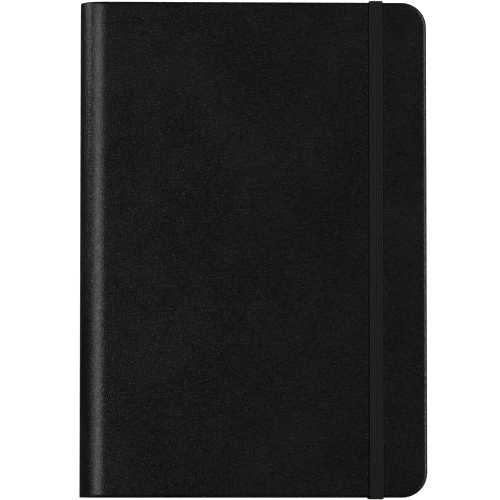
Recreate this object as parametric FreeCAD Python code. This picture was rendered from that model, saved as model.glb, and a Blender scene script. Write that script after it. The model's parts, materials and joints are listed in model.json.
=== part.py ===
"""Hard-cover pocket notebook: leatherette case, sewn block and elastic closure, lying on its back cover.

Frame: +Y to the head, +X to the fore edge, +Z from the back cover to the front cover.
The origin is at the centre of the footprint, on the face the notebook rests on. Millimetres.
"""
import FreeCAD
import Part
import math
import os

# case
WIDTH = 103.5
HEIGHT = 148.0
THICK = 15.0
SPINE_DEPTH = 8.0
CORNER_R = 7.5
EDGE_R = 0.4
LEATHER = 0.45
LINER = 0.30
BOARD_IN = 2.25
TURN_IN = 13.0
PASTE = 0.15
HINGE_X = -48.5
BOARD_BACK_X = -47.8
# block
SQUARE = 2.5
PAGE_R = 5.2
ROUNDING = 1.5
BLOCK_BACK_X = -48.1
HALF_BLOCK = 5.0
SIGNATURES = 12
SIG_PITCH = 0.7867
SIG_THICK = 0.7667
FIRST_SIG = 0.16
FLYLEAF = 0.15
FLYLEAF_OUT = 5.05
LEAF = 0.12
LEAF_GAP = 0.01
MULL = 0.20
MULL_OFF = 0.16
MULL_HALF = 66.0
THREAD = 0.30
STATIONS = (-58.0, -35.0, -12.0, 12.0, 35.0, 58.0)
BAND_RISE = 1.4
BAND_DEEP = 1.3
# elastic closure
ELASTIC_W = 4.1
ELASTIC_T = 0.5
ELASTIC_IN = 15.2
ELASTIC_TAIL = 14.0
FIT = 0.02

X_SPINE = -WIDTH / 2
X_FORE = WIDTH / 2
X_ARC = X_SPINE + SPINE_DEPTH
Y_EDGE = HEIGHT / 2
Z_MID = THICK / 2
Y_PAGE = Y_EDGE - SQUARE
X_PAGE = X_FORE - SQUARE
X_ELASTIC = X_FORE - ELASTIC_IN


def vec(x, y, z):
    return FreeCAD.Vector(x, y, z)


def save(name, shape):
    os.makedirs("parts", exist_ok=True)
    solid = shape.removeSplitter()
    solid.exportStep("parts/" + name + ".step")


def box(x0, x1, y0, y1, z0, z1):
    return Part.makeBox(x1 - x0, y1 - y0, z1 - z0, vec(x0, y0, z0))


def mirrored(shape):
    """The same piece on the other side of the block's middle plane."""
    return shape.mirror(vec(0, 0, Z_MID), vec(0, 0, 1))


def line(a, b):
    return Part.LineSegment(vec(a[0], 0, a[1]), vec(b[0], 0, b[1])).toShape()


def curve(points):
    spline = Part.BSplineCurve()
    spline.interpolate([vec(x, 0, z) for x, z in points])
    return spline.toShape()


def along_y(edges, half):
    """Extrude a closed section in X and Z to both sides of the middle of the height."""
    face = Part.Face(Part.Wire(Part.__sortEdges__(edges)))
    face.translate(vec(0, -half, 0))
    return face.extrude(vec(0, 2 * half, 0))


def plan(x0, x1, half, radius, z0, z1):
    """Upright prism whose two fore-edge corners are rounded."""
    k = radius * (1 - math.sqrt(0.5))
    a = vec(x0, -half, z0)
    b = vec(x1 - radius, -half, z0)
    c = vec(x1, -half + radius, z0)
    d = vec(x1, half - radius, z0)
    e = vec(x1 - radius, half, z0)
    f = vec(x0, half, z0)
    edges = [
        Part.LineSegment(a, b).toShape(),
        Part.Arc(b, vec(x1 - k, -half + k, z0), c).toShape(),
        Part.LineSegment(c, d).toShape(),
        Part.Arc(d, vec(x1 - k, half - k, z0), e).toShape(),
        Part.LineSegment(e, f).toShape(),
        Part.LineSegment(f, a).toShape(),
    ]
    return Part.Face(Part.Wire(edges)).extrude(vec(0, 0, z1 - z0))


def arc_low(x, inset):
    """Height of the lower half of the rounded spine, inset from its outside, at x."""
    reach = min(1.0, max(0.0, (X_ARC - x) / (SPINE_DEPTH - inset)))
    return Z_MID - (Z_MID - inset) * math.sqrt(1 - reach * reach)


def low_curve(inset, x0, steps=10):
    """Points from x0 to where the rounded spine runs into the flat cover."""
    span = X_ARC - x0
    xs = [x0 + span * i / steps for i in range(steps + 1)]
    return [(x, arc_low(x, inset)) for x in xs]


def cover_solid(inset, x0, x1, half, radius):
    """Back cover between its outside, inset all round, and the face the pastedown is glued to."""
    points = low_curve(inset, x0)
    edges = [
        curve(points),
        line(points[-1], (x1, inset)),
        line((x1, inset), (x1, BOARD_IN)),
        line((x1, BOARD_IN), (x0, BOARD_IN)),
        line((x0, BOARD_IN), points[0]),
    ]
    return along_y(edges, half).common(plan(x0, x1, half, radius, -1, THICK))


def rounded_outside(shape):
    """Break the outer edges of the case where the leatherette folds over the board."""
    edges = []
    for e in shape.Edges:
        b = e.BoundBox
        flat = b.ZMax < 0.01
        side = b.YLength < 0.01 and abs(abs(b.YMin) - Y_EDGE) < 0.01
        if flat and (side or b.XMin > X_ARC + 1):
            edges.append(e)
    return shape.makeFillet(EDGE_R, edges)


def turn_in_frame():
    """The margin of the inner face covered by the folded-over leatherette."""
    top = BOARD_IN - LEATHER
    x1 = X_FORE - LEATHER
    half = Y_EDGE - LEATHER
    outer = plan(BOARD_BACK_X, x1, half, CORNER_R - LEATHER, top, BOARD_IN)
    inner = box(BOARD_BACK_X - 1, x1 - TURN_IN, -half + TURN_IN, half - TURN_IN, top - 1, BOARD_IN + 1)
    return outer.cut(inner)


def back_case():
    """Board and leatherette of the back cover, without the slots for the elastic."""
    x1 = X_FORE - LEATHER
    half = Y_EDGE - LEATHER
    radius = CORNER_R - LEATHER
    frame = turn_in_frame()
    board = cover_solid(LEATHER, BOARD_BACK_X, x1, half, radius).cut(frame)
    skin = rounded_outside(cover_solid(0.0, HINGE_X, X_FORE, Y_EDGE, CORNER_R))
    skin = skin.cut(cover_solid(LEATHER, HINGE_X, x1, half, radius)).fuse(frame)
    return board, skin


def pastedown():
    return plan(BOARD_BACK_X, X_PAGE, Y_PAGE, PAGE_R, BOARD_IN, BOARD_IN + PASTE)


def spine_curve(inset):
    """Points round the spine between the two hinge lines, inset from its outside."""
    depth = SPINE_DEPTH - inset
    rise = Z_MID - inset
    end = math.asin(min(1.0, (X_ARC - HINGE_X) / depth))
    points = []
    for i in range(17):
        t = end + (math.pi - 2 * end) * i / 16
        points.append((X_ARC - depth * math.sin(t), Z_MID - rise * math.cos(t)))
    return points


def spine_shell(outer, inner, half):
    a = spine_curve(outer)
    b = spine_curve(inner)
    return along_y([curve(a), line(a[-1], b[-1]), curve(b), line(b[0], a[0])], half)


def spine_leather():
    """Spine strip with small lips folded over the ends of the liner."""
    skin = spine_shell(0.0, LEATHER, Y_EDGE)
    lip = spine_shell(LEATHER, LEATHER + LINER, Y_EDGE)
    open_part = box(X_SPINE - 1, X_ARC, -Y_EDGE + LEATHER, Y_EDGE - LEATHER, -1, THICK + 1)
    return skin.fuse(lip.cut(open_part))


def spine_liner():
    return spine_shell(LEATHER, LEATHER + LINER, Y_EDGE - LEATHER)


def fold_x(z):
    """Back of the block at height z: the rounding the block gets before it is cased in."""
    return BLOCK_BACK_X + ROUNDING * ((z - Z_MID) / HALF_BLOCK) ** 2


def fore_x(z):
    return X_PAGE - ROUNDING + ROUNDING * ((z - Z_MID) / HALF_BLOCK) ** 2


def sheet(z0, thick):
    """Flat leaf, from the back of the block to the fore edge."""
    z = z0 + thick / 2
    return plan(fold_x(z), fore_x(z), Y_PAGE, PAGE_R, z0, z0 + thick)


def sig_heights():
    """Lower face of each signature, first signature next to the front cover."""
    front = [Z_MID + FIRST_SIG + SIG_PITCH * i for i in range(SIGNATURES // 2)]
    rear = [THICK - z - SIG_THICK for z in front]
    return sorted(front + rear, reverse=True)


def signature(z0):
    """Nest of folded sheets: a round fold at the back and a fore edge cut to the block's curve."""
    z1 = z0 + SIG_THICK
    mid = (z0 + z1) / 2
    r = SIG_THICK / 2
    back = fold_x(mid)
    a = (back + r, z0)
    b = (fore_x(z0), z0)
    c = (fore_x(z1), z1)
    d = (back + r, z1)
    fold = Part.Arc(vec(d[0], 0, d[1]), vec(back, 0, mid), vec(a[0], 0, a[1])).toShape()
    slab = along_y([line(a, b), line(b, c), line(c, d), fold], Y_PAGE)
    return slab.common(plan(back - 1, max(b[0], c[0]), Y_PAGE, PAGE_R, z0 - 1, z1 + 1))


def sewing(heights):
    """One thread: a run inside each fold, and links across the back at every station."""
    t = THREAD
    runs = None
    last = None
    for z0 in heights:
        z = z0 + SIG_THICK / 2
        x = fold_x(z) + 0.2
        pieces = [box(x + 0.6, x + 0.6 + t, STATIONS[0] - t / 2, STATIONS[-1] + t / 2, z - t / 2, z + t / 2)]
        for y in STATIONS:
            pieces.append(box(x, x + 0.6 + t, y - t / 2, y + t / 2, z - t / 2, z + t / 2))
            if last:
                x0 = min(x, last[0])
                x1 = max(x, last[0]) + t
                pieces.append(box(x0, x1, y - t / 2, y + t / 2, min(z, last[1]), max(z, last[1])))
        first = pieces.pop(0)
        joined = first.multiFuse(pieces)
        runs = joined if runs is None else runs.fuse(joined)
        last = (x, z)
    return runs.removeSplitter()


def back_strip(x_off, depth, half, z_half):
    """Strip that follows the rounded back of the block."""
    zs = [Z_MID - z_half + 2 * z_half * i / 12 for i in range(13)]
    a = [(fold_x(z) + x_off, z) for z in zs]
    b = [(fold_x(z) + x_off + depth, z) for z in zs]
    return along_y([curve(a), line(a[-1], b[-1]), curve(b), line(b[0], a[0])], half)


def spine_mull():
    return back_strip(-MULL_OFF - MULL, MULL, MULL_HALF, HALF_BLOCK - 0.2)


def end_band(side):
    """Woven bead on the end of the block at its back edge."""
    strip = back_strip(-MULL_OFF - MULL, BAND_DEEP, Y_EDGE, HALF_BLOCK - 0.45)
    low = Y_PAGE + FIT
    keep = box(X_SPINE, X_ARC, low, low + BAND_RISE, 0, THICK)
    bead = strip.common(keep)
    edges = []
    for e in bead.Edges:
        b = e.BoundBox
        if b.YMin > low + BAND_RISE - 0.01 and b.ZLength > 1:
            edges.append(e)
    bead = bead.makeFillet(BAND_DEEP * 0.4, edges)
    return bead if side > 0 else bead.mirror(vec(0, 0, 0), vec(0, 1, 0))


def elastic_end(reach):
    """One end of the band: its tail in the back cover and the part that stands along the edge."""
    x0 = X_ELASTIC - ELASTIC_W / 2
    x1 = X_ELASTIC + ELASTIC_W / 2
    low = BOARD_IN - ELASTIC_T
    top = THICK + ELASTIC_T
    tail = box(x0, x1, Y_EDGE - ELASTIC_TAIL, Y_EDGE + ELASTIC_T, low, BOARD_IN)
    riser = box(x0, x1, Y_EDGE + FIT, Y_EDGE + ELASTIC_T, low, top)
    return tail.fuse(riser) if reach else tail


def elastic_band():
    """Flat woven band round the closed notebook, rounded where it turns over the edges."""
    x0 = X_ELASTIC - ELASTIC_W / 2
    x1 = X_ELASTIC + ELASTIC_W / 2
    end = elastic_end(True)
    other = end.mirror(vec(0, 0, 0), vec(0, 1, 0))
    y = Y_EDGE + ELASTIC_T
    run = box(x0, x1, -y, y, THICK + FIT, THICK + ELASTIC_T)
    band = run.multiFuse([end, other]).removeSplitter()
    edges = []
    for e in band.Edges:
        b = e.BoundBox
        corner = abs(b.YMin) > y - 0.01 and b.YLength < 0.01
        if corner and b.XLength > 1 and b.ZLength < 0.01:
            edges.append(e)
    return band.makeFillet(ELASTIC_T * 0.8, edges)


def slot(shape):
    """Make room for the tails of the elastic between the board and the pastedown."""
    tail = elastic_end(False)
    return shape.cut(tail).cut(tail.mirror(vec(0, 0, 0), vec(0, 1, 0)))


def build_case():
    board, skin = back_case()
    save("front_board", mirrored(board))
    save("front_cover_leather", mirrored(skin))
    save("back_board", slot(board))
    save("back_cover_leather", slot(skin))
    save("back_pastedown", pastedown())
    save("front_pastedown", mirrored(pastedown()))
    save("spine_leather", spine_leather())
    save("spine_liner", spine_liner())


def build_block():
    heights = sig_heights()
    half = SIGNATURES // 2
    front_thread = sewing(heights[:half])
    rear_thread = sewing(heights[half:])
    for i, z in enumerate(heights):
        thread = front_thread if i < half else rear_thread
        save("signature_%02d" % (i + 1), signature(z).cut(thread))
    save("sewing_thread_front", front_thread)
    save("sewing_thread_rear", rear_thread)
    save("front_flyleaf", sheet(Z_MID + FLYLEAF_OUT - FLYLEAF, FLYLEAF))
    save("back_flyleaf", sheet(Z_MID - FLYLEAF_OUT, FLYLEAF))
    save("turning_leaf_a", sheet(Z_MID + LEAF_GAP, LEAF))
    save("turning_leaf_b", sheet(Z_MID - LEAF_GAP - LEAF, LEAF))
    save("spine_mull", spine_mull())
    save("head_band", end_band(1))
    save("tail_band", end_band(-1))


build_case()
build_block()
save("elastic_band", elastic_band())
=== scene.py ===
"""Black leatherette pocket notebook with a ribbed elastic closure, in metres, in the CAD frame."""

import json
import math
import random

import bpy
from mathutils import Matrix, Vector

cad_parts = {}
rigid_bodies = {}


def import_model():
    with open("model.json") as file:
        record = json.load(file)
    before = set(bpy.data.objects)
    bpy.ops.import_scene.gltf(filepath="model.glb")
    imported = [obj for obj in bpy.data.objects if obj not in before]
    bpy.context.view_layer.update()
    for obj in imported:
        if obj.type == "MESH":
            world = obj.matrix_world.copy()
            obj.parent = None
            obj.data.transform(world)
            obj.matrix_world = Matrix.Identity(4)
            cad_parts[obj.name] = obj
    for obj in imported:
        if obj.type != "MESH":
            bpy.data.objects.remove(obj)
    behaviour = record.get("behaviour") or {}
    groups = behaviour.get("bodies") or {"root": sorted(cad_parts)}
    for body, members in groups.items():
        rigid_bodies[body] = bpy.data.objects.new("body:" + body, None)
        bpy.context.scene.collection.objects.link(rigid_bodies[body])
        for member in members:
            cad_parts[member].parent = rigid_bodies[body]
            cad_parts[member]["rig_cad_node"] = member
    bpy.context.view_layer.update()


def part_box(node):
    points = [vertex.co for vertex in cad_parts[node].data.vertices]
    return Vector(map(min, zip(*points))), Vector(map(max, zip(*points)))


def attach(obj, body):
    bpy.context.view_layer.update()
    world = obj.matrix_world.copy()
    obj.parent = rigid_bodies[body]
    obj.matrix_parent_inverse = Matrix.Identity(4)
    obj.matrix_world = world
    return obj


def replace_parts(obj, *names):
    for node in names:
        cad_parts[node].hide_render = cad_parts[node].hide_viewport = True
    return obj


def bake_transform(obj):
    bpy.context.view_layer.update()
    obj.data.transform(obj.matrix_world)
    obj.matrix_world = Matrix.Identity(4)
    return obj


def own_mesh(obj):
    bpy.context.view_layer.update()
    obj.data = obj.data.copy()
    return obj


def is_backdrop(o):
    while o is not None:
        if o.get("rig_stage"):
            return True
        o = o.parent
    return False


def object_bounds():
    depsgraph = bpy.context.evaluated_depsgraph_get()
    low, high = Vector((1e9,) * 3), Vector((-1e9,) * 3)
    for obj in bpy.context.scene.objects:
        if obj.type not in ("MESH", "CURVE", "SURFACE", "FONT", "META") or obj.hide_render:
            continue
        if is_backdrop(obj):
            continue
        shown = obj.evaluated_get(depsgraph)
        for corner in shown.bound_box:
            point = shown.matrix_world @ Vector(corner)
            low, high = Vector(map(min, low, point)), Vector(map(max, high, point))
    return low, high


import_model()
MM = 0.001
random.seed(7)

# places and sizes read from the CAD pieces
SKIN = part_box("front_cover_leather")
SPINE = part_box("spine_leather")
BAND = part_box("elastic_band")
LEAF_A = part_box("turning_leaf_a")
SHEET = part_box("front_flyleaf")
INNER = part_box("front_pastedown")[1].z
TOP = SKIN[1].z
MID = TOP / 2
X_FORE = SKIN[1].x
X_SEAM = SKIN[0].x
X_SPINE = SPINE[0].x
HALF = SKIN[1].y
# the case: its outline, and the leatherette folded round the boards
DEPTH = 8.0 * MM
X_ARC = X_SPINE + DEPTH
CORNER = 7.5 * MM
LEATHER = 0.45 * MM
EDGE_ROUND = 1.1 * MM
TURN_ROUND = 0.3 * MM
SHOULDER = 1.8 * MM
FLAT_FROM = 4.0 * MM
TURN_IN = 5.2 * MM
LINING = 0.3 * MM
SPINE_ROUND = 0.32 * MM
SPINE_LIP = 1.2 * MM
LIP_BEVEL = 0.1 * MM
# the elastic, and the groove it presses into the cover
CORDS = 6
BAND_THICK = 0.49 * MM
BAND_BEND = 0.5 * MM
BAND_TAIL = 14.5 * MM
BAND_EDGE = 0.22 * MM
BAND_EDGE_DROP = 0.16 * MM
CORD_DEPTH = 0.2 * MM
GROOVE = 0.05 * MM
GROOVE_AT_EDGE = 0.12 * MM
GROOVE_FADE = 0.7 * MM
GROOVE_EDGE_FADE = 1.5 * MM
BESIDE_BAND = [step * MM for step in (-0.4, 0.0, 0.15, 0.35, 0.6, 0.9, 1.3)]
# the block of pages, and what holds its back
PAGE_HALF = SHEET[1].y
PAGE_R = 5.2 * MM
X_BACK = LEAF_A[0].x
X_FRONT = LEAF_A[1].x
ROUNDING = SHEET[0].x - X_BACK
HALF_BLOCK = SHEET[1].z - MID
SHEETS = 4
SHEET_SHARE = 0.9
BEAD_OUT = 0.35 * MM
BEAD_END = 0.2 * MM
MULL_THICK = 0.2 * MM
MULL_OUT = 0.16 * MM


# ---------------------------------------------------------------- mesh helpers
def make(name, verts, faces, sharp=40.0):
    """Smooth-shaded object that keeps the edges sharper than an angle in degrees."""
    mesh = bpy.data.meshes.new(name)
    mesh.from_pydata([tuple(v) for v in verts], [], faces)
    mesh.validate()
    mesh.polygons.foreach_set("use_smooth", [True] * len(mesh.polygons))
    mesh.set_sharp_from_angle(angle=math.radians(sharp))
    mesh.update()
    obj = bpy.data.objects.new(name, mesh)
    bpy.context.scene.collection.objects.link(obj)
    return obj


def loft(rings, flip=False):
    """Faces between closed rings of equal length, with a cap on the first and last."""
    n = len(rings[0])
    verts = [p for r in rings for p in r]
    faces = []
    for i in range(len(rings) - 1):
        for j in range(n):
            k = (j + 1) % n
            faces.append((i * n + j, i * n + k, (i + 1) * n + k, (i + 1) * n + j))
    last = (len(rings) - 1) * n
    faces.append(tuple(reversed(range(n))))
    faces.append(tuple(last + j for j in range(n)))
    if flip:
        faces = [tuple(reversed(f)) for f in faces]
    return verts, faces


def spine_z(x, inset=0.0):
    """Upper outside of the case at x, where it rounds over to the spine."""
    reach = min(1.0, max(0.0, (X_ARC - x) / (DEPTH - inset)))
    return MID + (MID - inset) * math.sqrt(1 - reach * reach)


# ---------------------------------------------------------------- case
def cover_rim():
    """Head half of the cover's outline from the seam to the fore edge: point and inward normal."""
    rim = []
    for i in range(12):
        rim.append((X_SEAM + (X_ARC - X_SEAM) * i / 12, HALF, 0.0, -1.0))
    flat = [X_ARC + (X_FORE - CORNER - X_ARC) * i / 24 for i in range(25)]
    for edge, out in ((BAND[0].x, -1), (BAND[1].x, 1)):
        flat += [edge + out * step for step in BESIDE_BAND]
    for x in sorted(flat):
        rim.append((x, HALF, 0.0, -1.0))
    for i in range(1, 13):
        a = math.pi / 2 * (1 - i / 12)
        c, s = math.cos(a), math.sin(a)
        rim.append((X_FORE - CORNER + CORNER * c, HALF - CORNER + CORNER * s, -c, -s))
    return rim


def cover_section():
    """Distance in from the edge and depth below the outside, round the folded leatherette."""
    r, q, full = EDGE_ROUND, TURN_ROUND, TOP - INNER
    pts = [(FLAT_FROM, 0.0), (SHOULDER, 0.0)]
    for i in range(9):
        a = math.pi / 2 * i / 8
        pts.append((r - r * math.sin(a), r - r * math.cos(a)))
    for i in range(5):
        a = math.pi / 2 * i / 4
        pts.append((q - q * math.cos(a), full - q + q * math.sin(a)))
    pts += [(TURN_IN, full), (TURN_IN, full - LEATHER), (LEATHER, full - LEATHER)]
    pts += [(LEATHER, LEATHER), (FLAT_FROM, LEATHER)]
    return pts, full


def dip(x, y):
    """The leatherette gives a little under the elastic, and more where it goes round the edge."""
    mid, half = (BAND[0].x + BAND[1].x) / 2, (BAND[1].x - BAND[0].x) / 2
    beside = max(0.0, abs(x - mid) - half)
    near = math.exp(-((beside / GROOVE_FADE) ** 2))
    edge = math.exp(-(((HALF - abs(y)) / GROOVE_EDGE_FADE) ** 2))
    return (GROOVE + GROOVE_AT_EDGE * edge) * near


def cover(name, front=True):
    """Leatherette of one cover: outside, rounded edges and turn-ins, as one closed shell."""
    rim = cover_rim()
    pts, full = cover_section()
    m = len(pts)
    path = rim + [(x, -y, nx, -ny) for x, y, nx, ny in reversed(rim)]
    verts = []
    for x, y, nx, ny in path:
        for d, s in pts:
            px, py = x + nx * d, y + ny * d
            px = max(px, X_SEAM)
            top = spine_z(px)
            z = top - s * (top - (TOP - full)) / full
            z -= dip(px, py) * max(0.0, 1 - s / full)
            verts.append((px, py, z))
    faces = []
    count = len(path)
    for i in range(count - 1):
        for j in range(m - 1):
            faces.append((i * m + j, (i + 1) * m + j, (i + 1) * m + j + 1, i * m + j + 1))
    for k in range(len(rim) - 1):
        t = count - 1 - k
        faces.append((k * m, t * m, (t - 1) * m, (k + 1) * m))
        faces.append((k * m + m - 1, (k + 1) * m + m - 1, (t - 1) * m + m - 1, t * m + m - 1))
    last = (count - 1) * m
    faces.append(tuple(range(m)) + tuple(last + m - 1 - j for j in range(m)))
    if not front:
        verts = [(x, y, TOP - z) for x, y, z in verts]
    else:
        faces = [tuple(reversed(f)) for f in faces]
    return make(name, verts, [tuple(reversed(f)) for f in faces])


def spine_ring(t, section):
    """Section of the spine strip at a share t of the way round its half ellipse."""
    ring = []
    for y, inset in section:
        a, b = DEPTH - inset, MID - inset
        end = math.asin(min(1.0, (X_ARC - X_SEAM) / a))
        u = end + (math.pi - 2 * end) * t
        ring.append((X_ARC - a * math.sin(u), y, MID - b * math.cos(u)))
    return ring


def spine_piece(name, section, steps=36):
    rings = [spine_ring(i / steps, section) for i in range(steps + 1)]
    return make(name, *loft(rings, flip=True))


def skin_section():
    """Height and depth round the spine's leatherette, with a lip folded in at the head and tail."""
    r, lip = SPINE_ROUND, LEATHER + LINING
    side = []
    for i in range(6):
        a = math.pi / 2 * i / 5
        side.append((HALF - r + r * math.sin(a), r - r * math.cos(a)))
    side += [(HALF, lip - LIP_BEVEL), (HALF - LIP_BEVEL, lip)]
    side += [(HALF - SPINE_LIP, lip), (HALF - SPINE_LIP, LEATHER)]
    other = [(-y, s) for y, s in reversed(side)]
    return side + other


# ---------------------------------------------------------------- pages
def fold_x(z):
    """Back of the block, which rounds forward away from its middle."""
    return X_BACK + ROUNDING * ((z - MID) / HALF_BLOCK) ** 2


def fore_x(z):
    """Fore edge of the block, hollow by as much as the back is round."""
    return X_FRONT + ROUNDING * ((z - MID) / HALF_BLOCK) ** 2


def reach_y(x, x_end):
    """Half height of a page at x, less the rounding of its fore-edge corners."""
    over = x - (x_end - PAGE_R)
    if over <= 0:
        return PAGE_HALF
    return PAGE_HALF - PAGE_R + math.sqrt(max(0.0, PAGE_R**2 - over**2))


def leaf_stations(x0, x1, steps):
    """Stations from the back of a leaf to its fore edge, closer together at the round corners."""
    xs = [x0 + (x1 - PAGE_R - x0) * i / steps for i in range(steps + 1)]
    xs += [x1 - PAGE_R + PAGE_R * math.sin(math.pi / 2 * i / 7) for i in range(1, 8)]
    return xs


def sheet_mesh(stations, thick):
    """Thin sheet along stations (x, z, normal x, normal z, half height)."""
    rings = []
    for x, z, nx, nz, y in stations:
        a, b = thick / 2, -thick / 2
        rings.append(
            [
                (x + nx * a, -y, z + nz * a),
                (x + nx * a, y, z + nz * a),
                (x + nx * b, y, z + nz * b),
                (x + nx * b, -y, z + nz * b),
            ]
        )
    return loft(rings)


def flat_leaf(name, node, steps=6):
    """Flat leaf with round fore corners, where its CAD piece lies."""
    lo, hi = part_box(node)
    z, thick = (lo.z + hi.z) / 2, hi.z - lo.z
    xs = leaf_stations(lo.x, hi.x, steps)
    rows = [(x, z, 0.0, 1.0, reach_y(x, hi.x)) for x in xs]
    obj = make(name, *sheet_mesh(rows, thick), sharp=30)
    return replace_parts(obj, node)


def folded_sheet(mid, offset, back, pitch, thick):
    """One sheet folded round the back: upper leaf, fold and lower leaf."""
    x_c = back + SHEETS * pitch
    upper, lower = mid + offset, mid - offset
    ends = [fore_x(z) + random.uniform(-0.04, 0.02) * MM for z in (upper, lower)]
    rows = []
    for x in reversed(leaf_stations(x_c, ends[0], 2)):
        rows.append((x, upper, 0.0, 1.0, reach_y(x, ends[0])))
    for i in range(1, 8):
        a = math.pi / 2 + math.pi * i / 8
        c, s = math.cos(a), math.sin(a)
        rows.append((x_c + offset * c, mid + offset * s, c, s, PAGE_HALF))
    for x in leaf_stations(x_c, ends[1], 2):
        rows.append((x, lower, 0.0, -1.0, reach_y(x, ends[1])))
    return sheet_mesh(rows, thick)


def signature(node):
    """Nested folded sheets, two leaves each."""
    lo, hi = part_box(node)
    mid = (lo.z + hi.z) / 2
    pitch = (hi.z - lo.z) / (2 * SHEETS)
    verts, faces = [], []
    for k in range(SHEETS):
        offset = (SHEETS - 0.5 - k) * pitch
        v, f = folded_sheet(mid, offset, fold_x(mid), pitch, pitch * SHEET_SHARE)
        base = len(verts)
        verts += v
        faces += [tuple(i + base for i in q) for q in f]
    obj = make(node + "_leaves", verts, faces, sharp=30)
    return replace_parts(obj, node)


# ---------------------------------------------------------------- back of the block
def bead(name, node):
    """Round woven bead on the end of the block, following its rounded back."""
    lo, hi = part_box(node)
    r = (hi.y - lo.y) / 2
    y = (lo.y + hi.y) / 2
    rings = []
    n = 40
    for i in range(n + 1):
        z = lo.z + BEAD_END + (hi.z - lo.z - 2 * BEAD_END) * i / n
        size = r * (0.94 + 0.05 * math.cos(2 * math.pi * i / 4))
        if i in (0, n):
            size *= 0.6
        x = fold_x(z) + BEAD_OUT
        ring = []
        for j in range(12):
            a = 2 * math.pi * j / 12
            ring.append((x + size * 0.95 * math.cos(a), y + size * math.sin(a), z))
        rings.append(ring)
    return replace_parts(make(name, *loft(rings)), node)


def mull(name, node):
    """Strip of cloth over the rounded backs of the signatures."""
    lo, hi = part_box(node)
    rings = []
    for i in range(25):
        z = lo.z + (hi.z - lo.z) * i / 24
        x = fold_x(z) - MULL_OUT
        out = x - MULL_THICK
        rings.append([(x, lo.y, z), (x, hi.y, z), (out, hi.y, z), (out, lo.y, z)])
    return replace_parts(make(name, *loft(rings, flip=True)), node)


# ---------------------------------------------------------------- elastic
def band_path():
    """Outer face of the band in Y and Z with its outward normal, from tail to tail."""
    lo, hi = BAND
    r = BAND_BEND
    tail = hi.y - BAND_TAIL
    half = [(tail, lo.z, 0.0, -1.0)]
    for cy, cz, a0 in ((hi.y - r, lo.z + r, -90), (hi.y - r, hi.z - r, 0)):
        for i in range(7):
            a = math.radians(a0 + 90 * i / 6)
            half.append((cy + r * math.cos(a), cz + r * math.sin(a), math.cos(a), math.sin(a)))
    across = [(half[-1][0] * (1 - i / 4), hi.z, 0.0, 1.0) for i in range(1, 4)]
    other = [(-y, z, -ny, nz) for y, z, ny, nz in reversed(half)]
    full = half + across
    full += [(-y, z, ny, nz) for y, z, ny, nz in reversed(across)]
    return full + other


def elastic(name, node):
    """Woven band with raised cords running along it."""
    lo, hi = BAND
    width = hi.x - lo.x
    n = CORDS * 8
    profile = []
    for j in range(n + 1):
        u = j / n
        groove = 0.5 + 0.5 * math.cos(2 * math.pi * CORDS * u)
        side = min(u, 1 - u) * width
        edge = BAND_EDGE_DROP * max(0.0, 1 - side / BAND_EDGE) ** 2
        inner = 1.0 if side > 0.1 * MM else 0.4
        profile.append((lo.x + width * u, CORD_DEPTH * groove**2 * inner + edge))
    rings = []
    for y, z, ny, nz in band_path():
        ring = [(x, y - ny * s, z - nz * s) for x, s in profile]
        inside = (y - ny * BAND_THICK, z - nz * BAND_THICK)
        ring += [(hi.x, *inside), (lo.x, *inside)]
        rings.append(ring)
    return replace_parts(make(name, *loft(rings), sharp=70), node)


# ---------------------------------------------------------------- materials
RULE_PITCH = 6.0 * MM
RULE_WIDTH = 0.18 * MM
RULE_REACH = 62.0 * MM


def material(name):
    mat = bpy.data.materials.new(name)
    mat.use_nodes = True
    tree = mat.node_tree
    return mat, tree, tree.nodes["Principled BSDF"]


def node(tree, kind, **values):
    made = tree.nodes.new(kind)
    for key, value in values.items():
        if key in made.inputs:
            made.inputs[key].default_value = value
        else:
            setattr(made, key, value)
    return made


def coordinates(tree):
    """Position on the piece in metres, as the pieces are built in the CAD frame."""
    return node(tree, "ShaderNodeTexCoord").outputs["Object"]


def ramp(tree, source, stops):
    """Colour between two stops, each a position and a colour."""
    made = node(tree, "ShaderNodeValToRGB")
    made.color_ramp.elements[0].position = stops[0][0]
    made.color_ramp.elements[0].color = (*stops[0][1], 1)
    made.color_ramp.elements[1].position = stops[-1][0]
    made.color_ramp.elements[1].color = (*stops[-1][1], 1)
    tree.links.new(source, made.inputs["Fac"])
    return made.outputs["Color"]


def grey(v):
    return (v, v, v)


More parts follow.
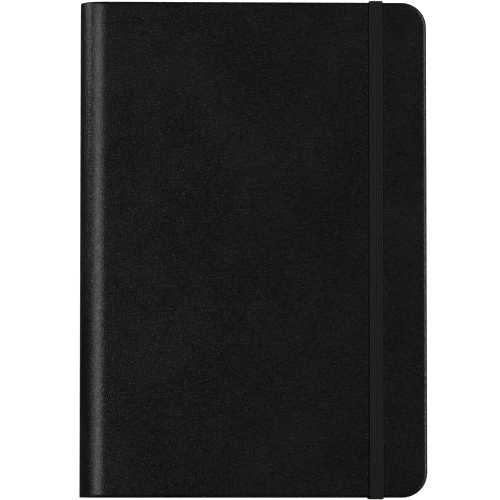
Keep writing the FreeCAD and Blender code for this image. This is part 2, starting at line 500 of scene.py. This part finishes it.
def leatherette():
    """Pebbled black leatherette: raised cells, painted shade darkening the creases between them, and a
    soft mottling.
    """
    mat, tree, bsdf = material("leatherette")
    links = tree.links
    at = coordinates(tree)
    cells = node(tree, "ShaderNodeTexVoronoi", Scale=1500.0, Randomness=1.0)
    cells.feature = "DISTANCE_TO_EDGE"
    fine = node(tree, "ShaderNodeTexNoise", Scale=2600.0, Detail=3.0, Roughness=0.65)
    patch = node(tree, "ShaderNodeTexNoise", Scale=50.0, Detail=8.0, Roughness=0.7)
    for n in (cells, fine, patch):
        links.new(at, n.inputs["Vector"])
    pebble = node(tree, "ShaderNodeMapRange", interpolation_type="SMOOTHSTEP")
    pebble.inputs["From Max"].default_value = 0.32
    links.new(cells.outputs["Distance"], pebble.inputs["Value"])
    mix = node(tree, "ShaderNodeMath", operation="MULTIPLY_ADD")
    mix.inputs[1].default_value = 1.1
    links.new(fine.outputs["Fac"], mix.inputs[0])
    links.new(pebble.outputs["Result"], mix.inputs[2])
    bump = node(tree, "ShaderNodeBump", Strength=0.9, Distance=0.000034)
    links.new(mix.outputs[0], bump.inputs["Height"])
    links.new(bump.outputs["Normal"], bsdf.inputs["Normal"])
    dark, light = (0.0020, 0.0028, 0.0023), (0.0076, 0.0092, 0.0082)
    tone = ramp(tree, patch.outputs["Fac"], [(0.36, dark), (0.64, light)])
    # painted shade: the base colour darkens in the creases between the cells, where shade would fall
    painted_crease_shade = ramp(tree, mix.outputs[0], [(0.5, grey(0.2)), (1.0, grey(1.0))])
    shade = node(tree, "ShaderNodeMix", data_type="RGBA", blend_type="MULTIPLY")
    shade.inputs[0].default_value = 1.0
    links.new(tone, shade.inputs[6])
    links.new(painted_crease_shade, shade.inputs[7])
    links.new(shade.outputs[2], bsdf.inputs["Base Color"])
    rough = ramp(tree, patch.outputs["Fac"], [(0.3, grey(0.31)), (0.7, grey(0.27))])
    links.new(rough, bsdf.inputs["Roughness"])
    bsdf.inputs["Specular IOR Level"].default_value = 0.24
    return mat


def webbing():
    """Black elastic webbing: cords run along it, with painted shade darkening the gaps between them.
    """
    mat, tree, bsdf = material("woven_elastic")
    links = tree.links
    at = coordinates(tree)
    weft = node(tree, "ShaderNodeTexWave", Scale=360.0, Distortion=0.6, Detail=1.0)
    weft.bands_direction = "Y"
    lint = node(tree, "ShaderNodeTexNoise", Scale=4200.0, Detail=2.0)
    for n in (weft, lint):
        links.new(at, n.inputs["Vector"])
    bump = node(tree, "ShaderNodeBump", Strength=0.35, Distance=0.00006)
    links.new(weft.outputs["Fac"], bump.inputs["Height"])
    links.new(bump.outputs["Normal"], bsdf.inputs["Normal"])
    pitch = (BAND[1].x - BAND[0].x) / CORDS
    parts = node(tree, "ShaderNodeSeparateXYZ")
    links.new(at, parts.inputs["Vector"])
    across = node(tree, "ShaderNodeMath", operation="SUBTRACT")
    across.inputs[1].default_value = BAND[0].x
    links.new(parts.outputs["X"], across.inputs[0])
    cord = node(tree, "ShaderNodeMath", operation="PINGPONG")
    cord.inputs[1].default_value = pitch / 2
    links.new(across.outputs[0], cord.inputs[0])
    # painted shade: the colour darkens in the grooves between the cords, where shade would fall
    painted_gap_shade = node(tree, "ShaderNodeMapRange")
    painted_gap_shade.inputs["From Max"].default_value = pitch / 4
    painted_gap_shade.inputs["To Min"].default_value = 0.05
    links.new(cord.outputs[0], painted_gap_shade.inputs["Value"])
    dark, light = (0.0030, 0.0027, 0.0022), (0.0150, 0.0135, 0.0110)
    yarn = ramp(tree, lint.outputs["Fac"], [(0.3, dark), (0.7, light)])
    shade = node(tree, "ShaderNodeMix", data_type="RGBA", blend_type="MULTIPLY")
    shade.inputs[0].default_value = 1.0
    links.new(yarn, shade.inputs[6])
    links.new(painted_gap_shade.outputs["Result"], shade.inputs[7])
    links.new(shade.outputs[2], bsdf.inputs["Base Color"])
    bsdf.inputs["Roughness"].default_value = 0.62
    bsdf.inputs["Specular IOR Level"].default_value = 0.10
    return mat


def paper(name, dark, light, ruled):
    """Paper or card with a fine fibre, and on request grey rules, none close to the head and tail."""
    mat, tree, bsdf = material(name)
    links = tree.links
    at = coordinates(tree)
    fibre = node(tree, "ShaderNodeTexNoise", Scale=900.0, Detail=5.0, Roughness=0.65)
    links.new(at, fibre.inputs["Vector"])
    colour = ramp(tree, fibre.outputs["Fac"], [(0.25, dark), (0.75, light)])
    if ruled:
        parts = node(tree, "ShaderNodeSeparateXYZ")
        links.new(at, parts.inputs["Vector"])
        step = node(tree, "ShaderNodeMath", operation="PINGPONG")
        step.inputs[1].default_value = RULE_PITCH / 2
        links.new(parts.outputs["Y"], step.inputs[0])
        thin = node(tree, "ShaderNodeMath", operation="LESS_THAN")
        thin.inputs[1].default_value = RULE_WIDTH / 2
        links.new(step.outputs[0], thin.inputs[0])
        height = node(tree, "ShaderNodeMath", operation="ABSOLUTE")
        links.new(parts.outputs["Y"], height.inputs[0])
        inside = node(tree, "ShaderNodeMath", operation="LESS_THAN")
        inside.inputs[1].default_value = RULE_REACH
        links.new(height.outputs[0], inside.inputs[0])
        both = node(tree, "ShaderNodeMath", operation="MULTIPLY")
        links.new(thin.outputs[0], both.inputs[0])
        links.new(inside.outputs[0], both.inputs[1])
        mix = node(tree, "ShaderNodeMix", data_type="RGBA")
        links.new(both.outputs[0], mix.inputs[0])
        links.new(colour, mix.inputs[6])
        mix.inputs[7].default_value = (0.42, 0.42, 0.43, 1)
        colour = mix.outputs[2]
    links.new(colour, bsdf.inputs["Base Color"])
    bump = node(tree, "ShaderNodeBump", Strength=0.15, Distance=0.00003)
    links.new(fibre.outputs["Fac"], bump.inputs["Height"])
    links.new(bump.outputs["Normal"], bsdf.inputs["Normal"])
    bsdf.inputs["Roughness"].default_value = 0.85
    bsdf.inputs["Specular IOR Level"].default_value = 0.2
    return mat


def woven(name, dark, light, scale, direction):
    """Threads in bands along one direction, in two tones."""
    mat, tree, bsdf = material(name)
    links = tree.links
    at = coordinates(tree)
    weave = node(tree, "ShaderNodeTexWave", Scale=scale, Distortion=0.4, Detail=1.0)
    weave.bands_direction = direction
    links.new(at, weave.inputs["Vector"])
    links.new(ramp(tree, weave.outputs["Fac"], [(0.3, dark), (0.7, light)]), bsdf.inputs["Base Color"])
    bump = node(tree, "ShaderNodeBump", Strength=0.4, Distance=0.0001)
    links.new(weave.outputs["Fac"], bump.inputs["Height"])
    links.new(bump.outputs["Normal"], bsdf.inputs["Normal"])
    bsdf.inputs["Roughness"].default_value = 0.85
    return mat


LEATHERETTE = leatherette()
WEBBING = webbing()
PAGE = paper("ruled_paper", (0.74, 0.69, 0.56), (0.84, 0.80, 0.68), True)
ENDPAPER = paper("endpaper", (0.72, 0.67, 0.54), (0.82, 0.77, 0.65), False)
BOARD = paper("greyboard", (0.22, 0.20, 0.17), (0.34, 0.32, 0.28), False)
KRAFT = paper("kraft_liner", (0.20, 0.15, 0.09), (0.28, 0.22, 0.14), False)
MULL = woven("mull_cotton", (0.45, 0.43, 0.37), (0.66, 0.64, 0.57), 300.0, "Y")
BEAD = woven("end_band_cotton", (0.010, 0.010, 0.010), (0.62, 0.60, 0.54), 160.0, "Z")
THREAD = woven("linen_thread", (0.55, 0.52, 0.45), (0.72, 0.70, 0.62), 500.0, "Y")


def dress(obj, mat):
    """Give the piece one material."""
    obj.data.materials.clear()
    obj.data.materials.append(mat)
    return obj


# ---------------------------------------------------------------- build
def build_case():
    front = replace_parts(cover("front_leatherette"), "front_cover_leather")
    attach(dress(front, LEATHERETTE), "front_cover")
    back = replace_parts(cover("back_leatherette", False), "back_cover_leather")
    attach(dress(back, LEATHERETTE), "back_cover")
    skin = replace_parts(spine_piece("spine_leatherette", skin_section()), "spine_leather")
    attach(dress(skin, LEATHERETTE), "spine")
    h = HALF - SPINE_LIP - LIP_BEVEL
    section = [(h, LEATHER), (h, LEATHER + LINING), (-h, LEATHER + LINING), (-h, LEATHER)]
    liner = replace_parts(spine_piece("spine_lining", section), "spine_liner")
    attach(dress(liner, KRAFT), "spine")
    for piece in (skin, liner):
        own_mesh(piece)
    for n, body in (("front", "front_cover"), ("back", "back_cover")):
        leaf = flat_leaf(n + "_pasted_endpaper", n + "_pastedown")
        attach(dress(leaf, ENDPAPER), body)


def build_block():
    for i in range(1, 13):
        name = "signature_%02d" % i
        body = "front_pages" if i <= 6 else "rear_pages"
        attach(dress(signature(name), PAGE), body)
    for n, body in (("front", "front_pages"), ("back", "rear_pages")):
        leaf = flat_leaf(n + "_free_endpaper", n + "_flyleaf")
        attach(dress(leaf, ENDPAPER), body)
    for n in ("turning_leaf_a", "turning_leaf_b"):
        leaf = flat_leaf(n + "_paper", n, 60)
        dress(leaf, PAGE)
        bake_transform(leaf)
    cloth = dress(mull("spine_mull_cloth", "spine_mull"), MULL)
    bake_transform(cloth)
    for n in ("head_band", "tail_band"):
        piece = dress(bead(n + "_bead", n), BEAD)
        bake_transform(piece)


def build_elastic():
    band = dress(elastic("elastic_closure", "elastic_band"), WEBBING)
    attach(band, "elastic")
    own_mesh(band)


def dress_cad():
    """Materials for the CAD pieces that stay visible: the boards and the sewing."""
    for obj in bpy.context.scene.objects:
        if "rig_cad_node" in obj and not obj.hide_render:
            name = obj["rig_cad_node"]
            obj.data.materials.clear()
            obj.data.materials.append(BOARD if "board" in name else THREAD)


build_case()
build_block()
build_elastic()
dress_cad()


# ---------------------------------------------------------------- studio
FLOOR_SIZE = 16
FLOOR_GAP = 0.5 * MM
DISTANCE = 1.1
LEAN = (math.radians(-1.9), math.radians(-3.5))
SENSOR = 36.0
FILL = 501 / 500


def softbox(name, place, size, power):
    """Rectangular light that faces the middle of the object."""
    lamp = bpy.data.lights.new(name, "AREA")
    lamp.shape = "RECTANGLE"
    lamp.size, lamp.size_y = size
    lamp.energy = power
    obj = bpy.data.objects.new(name, lamp)
    obj.location = place
    obj.rotation_euler = (-Vector(place)).to_track_quat("-Z", "Y").to_euler()
    bpy.context.scene.collection.objects.link(obj)
    obj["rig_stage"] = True


def backdrop():
    """Pale surroundings where they are seen directly, and dim ones for what they light."""
    world = bpy.data.worlds.new("studio")
    world.use_nodes = True
    tree = world.node_tree
    dim = tree.nodes["Background"]
    dim.inputs["Color"].default_value = (1, 1, 1, 1)
    dim.inputs["Strength"].default_value = 0.04
    pale = node(tree, "ShaderNodeBackground", Color=(1, 1, 1, 1), Strength=1.0)
    path = node(tree, "ShaderNodeLightPath")
    mix = node(tree, "ShaderNodeMixShader")
    tree.links.new(path.outputs["Is Camera Ray"], mix.inputs[0])
    tree.links.new(dim.outputs[0], mix.inputs[1])
    tree.links.new(pale.outputs[0], mix.inputs[2])
    tree.links.new(mix.outputs[0], tree.nodes["World Output"].inputs["Surface"])
    bpy.context.scene.world = world


def studio():
    """Pale floor, a soft light on each side and a low one that grazes the spine."""
    backdrop()
    bpy.ops.mesh.primitive_plane_add(size=FLOOR_SIZE, location=(0, 0, -FLOOR_GAP))
    floor = bpy.context.object
    floor.name = "floor"
    mat, tree, bsdf = material("pale_floor")
    speck = node(tree, "ShaderNodeTexNoise", Scale=4.0)
    tone = ramp(tree, speck.outputs["Fac"], [(0.0, grey(0.95)), (1.0, grey(0.97))])
    tree.links.new(tone, bsdf.inputs["Base Color"])
    bsdf.inputs["Roughness"].default_value = 0.9
    bsdf.inputs["Emission Color"].default_value = (1, 1, 1, 1)
    bsdf.inputs["Emission Strength"].default_value = 0.8
    floor.data.materials.append(mat)
    floor.visible_glossy = False
    floor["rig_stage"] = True
    softbox("left_box", (-0.61, 0.055, 0.79), (0.6, 0.38), 6.3)
    softbox("low_left_box", (-0.9, 0.44, 0.09), (0.25, 0.2), 3.8)
    softbox("right_box", (0.78, 0.15, 0.62), (1.1, 0.3), 11.5)


def camera():
    """Long lens from nearly straight above, leaning a little, with the height filling the picture."""
    lo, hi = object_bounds()
    data = bpy.data.cameras.new("camera")
    cam = bpy.data.objects.new("camera", data)
    bpy.context.scene.collection.objects.link(cam)
    bpy.context.scene.camera = cam
    aim = Vector((-0.0011, -0.00042, hi.z))
    back = Vector((math.sin(LEAN[0]), math.sin(LEAN[1]), 1.0)).normalized()
    cam.location = aim + back * DISTANCE
    right = Vector((0, 1, 0)).cross(back).normalized()
    cam.rotation_euler = Matrix((right, back.cross(right), back)).transposed().to_euler()
    data.sensor_width = SENSOR
    data.lens = SENSOR * DISTANCE * FILL / (hi.y - lo.y)
    data.clip_start, data.clip_end = 0.01, 20.0


studio()
camera()
bpy.context.scene.view_settings.view_transform = "Standard"
